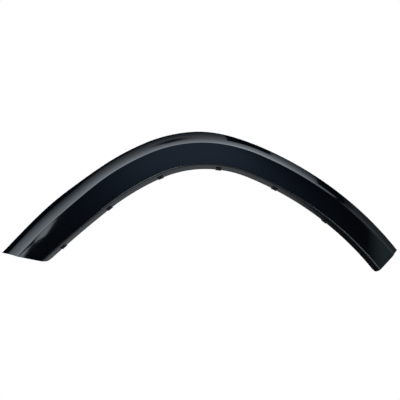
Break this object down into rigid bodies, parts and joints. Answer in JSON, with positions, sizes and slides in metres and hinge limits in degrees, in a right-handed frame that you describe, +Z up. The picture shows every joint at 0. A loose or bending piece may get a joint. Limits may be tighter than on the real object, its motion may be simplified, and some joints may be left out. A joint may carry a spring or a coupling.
{
  "type": "front wheel-arch flare moulding",
  "caption": "Gloss-black wheel-arch flare moulding with a scooped outer band, crease, broad face and return flange, with push-in panel clips and clip-on liner nuts.",
  "frame": {"origin": "on the axis of the crown clip, in the plane of the body panel", "axes": "+Z up, X along the car, outer face towards -Y, clips push in along +Y"},
  "size_m": [0.8348, 0.0643, 0.2956],
  "materials": {
    "gloss_black": "polished black injection moulding",
    "clip_plastic": "natural nylon",
    "spring_steel": "black phosphated spring steel"
  },
  "bodies": {
    "root": {"flare_moulding": "gloss_black", "panel_clips": "clip_plastic", "liner_nuts": "spring_steel"}
  },
  "joints": []
}
